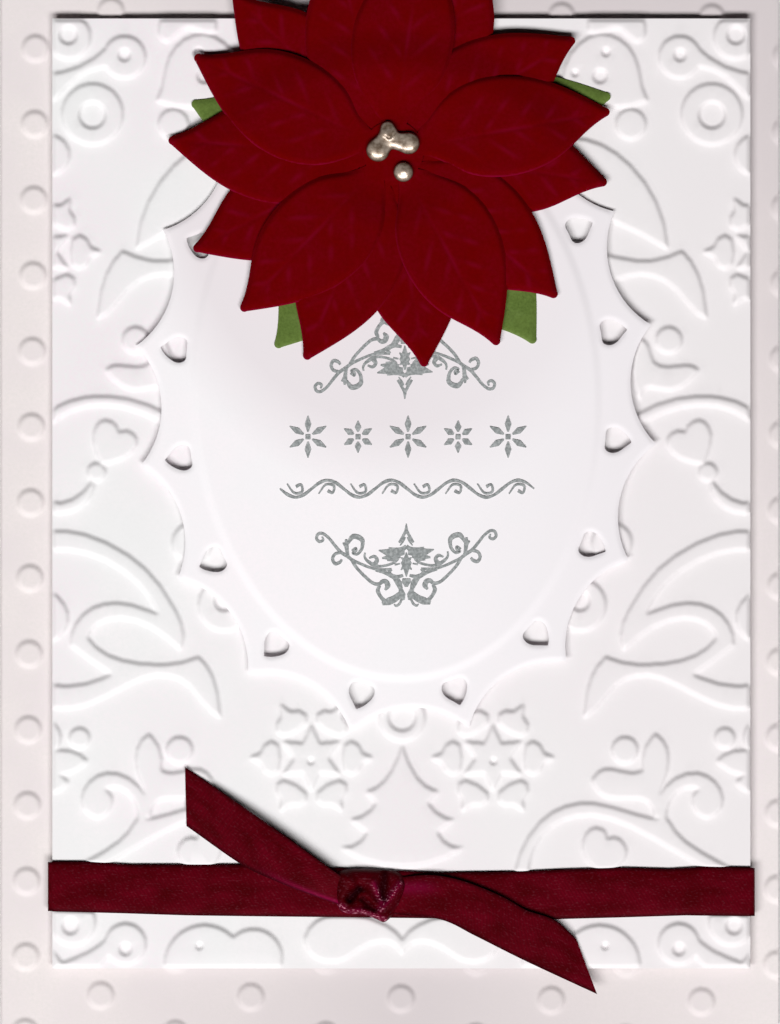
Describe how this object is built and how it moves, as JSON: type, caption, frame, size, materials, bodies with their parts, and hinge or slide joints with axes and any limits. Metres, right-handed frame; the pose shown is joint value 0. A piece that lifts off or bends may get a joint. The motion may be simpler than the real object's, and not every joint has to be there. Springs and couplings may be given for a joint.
{
  "type": "greeting card",
  "caption": "Folded greeting card with a raised dotted border, an embossed front panel on foam pads, a knotted ribbon, a scalloped oval label and a layered paper poinsettia with pearl drops.",
  "frame": {"origin": "middle of the card on the surface that its back leaf lies on", "axes": "+X across the card away from the fold, +Y up the card, +Z out of the front"},
  "size_m": [0.105, 0.148, 0.0062],
  "materials": {
    "base_card": "matt pinkish white card stock",
    "panel_card": "matt white card stock",
    "foam": "white double-sided adhesive foam",
    "ribbon_satin": "burgundy satin weave",
    "green_card": "leaf green card",
    "red_card": "dark red card",
    "pearl_paint": "champagne pearl paint, dried glossy"
  },
  "bodies": {
    "root": {"card_base": "base_card", "panel_pad_1": "foam", "panel_pad_2": "foam", "panel_pad_3": "foam", "panel_pad_4": "foam", "panel_pad_5": "foam", "panel_pad_6": "foam", "front_panel": "panel_card", "ribbon": "ribbon_satin", "label_pad_1": "foam", "label_pad_2": "foam", "label_pad_3": "foam", "label_pad_4": "foam", "oval_label": "panel_card", "green_leaves": "green_card", "petals_lower": "red_card", "petals_middle": "red_card", "petals_upper": "red_card", "pearl_drop_cluster": "pearl_paint", "pearl_drop_single": "pearl_paint"}
  },
  "joints": []
}
